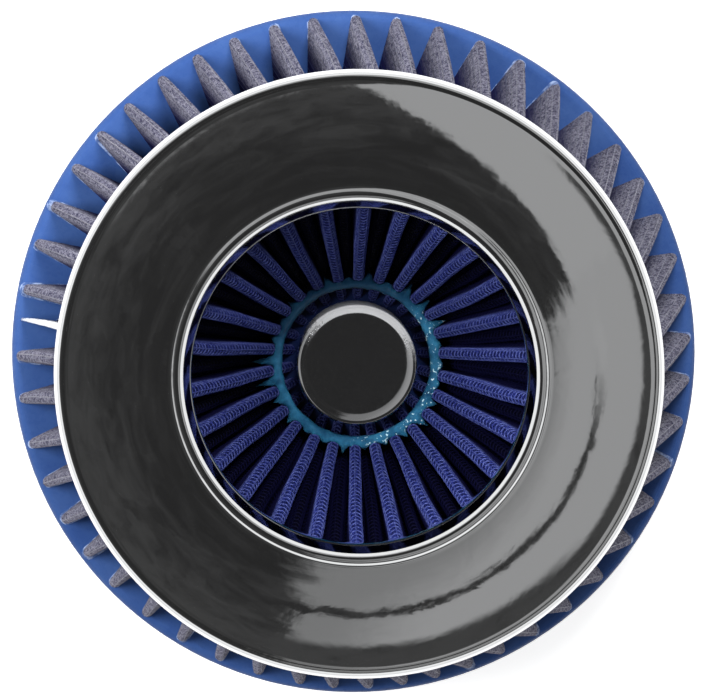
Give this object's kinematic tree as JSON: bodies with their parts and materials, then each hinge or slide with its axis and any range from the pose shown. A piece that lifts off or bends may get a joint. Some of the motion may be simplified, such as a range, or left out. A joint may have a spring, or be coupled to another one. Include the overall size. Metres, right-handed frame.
{
  "type": "cone air filter",
  "caption": "Clamp-on engine air filter with a pleated outer cone, an inverted pleated inner cone, a plated ring cover and a moulded flange.",
  "frame": {"origin": "centre of the flange's open end, which is the lowest face", "axes": "+Z along the filter's axis, from the flange to the ring cover; +Y is up in the picture's view from above"},
  "size_m": [0.152, 0.152, 0.1291],
  "materials": {
    "moulded_urethane": "smooth",
    "outer_coated_screen": "fine mesh",
    "inner_coated_screen": "fine mesh",
    "cotton_gauze": "oiled",
    "plain_wire_screen": "woven wire",
    "seam_aluminium": "bright",
    "teal_sealant": "glossy",
    "plated_sheet": "polished",
    "clamp_steel": "bright rolled"
  },
  "bodies": {
    "root": {"base_moulding": "moulded_urethane", "outer_back_screen": "plain_wire_screen", "outer_gauze": "cotton_gauze", "outer_face_screen": "outer_coated_screen", "seam_clip": "seam_aluminium", "inner_face_screen": "inner_coated_screen", "inner_gauze": "cotton_gauze", "inner_back_screen": "plain_wire_screen", "seal_ring": "teal_sealant", "end_disc": "moulded_urethane", "centre_cap": "plated_sheet", "top_potting": "moulded_urethane", "top_cover": "plated_sheet", "clamp_band": "clamp_steel", "clamp_housing": "clamp_steel", "clamp_screw": "clamp_steel"}
  },
  "joints": []
}
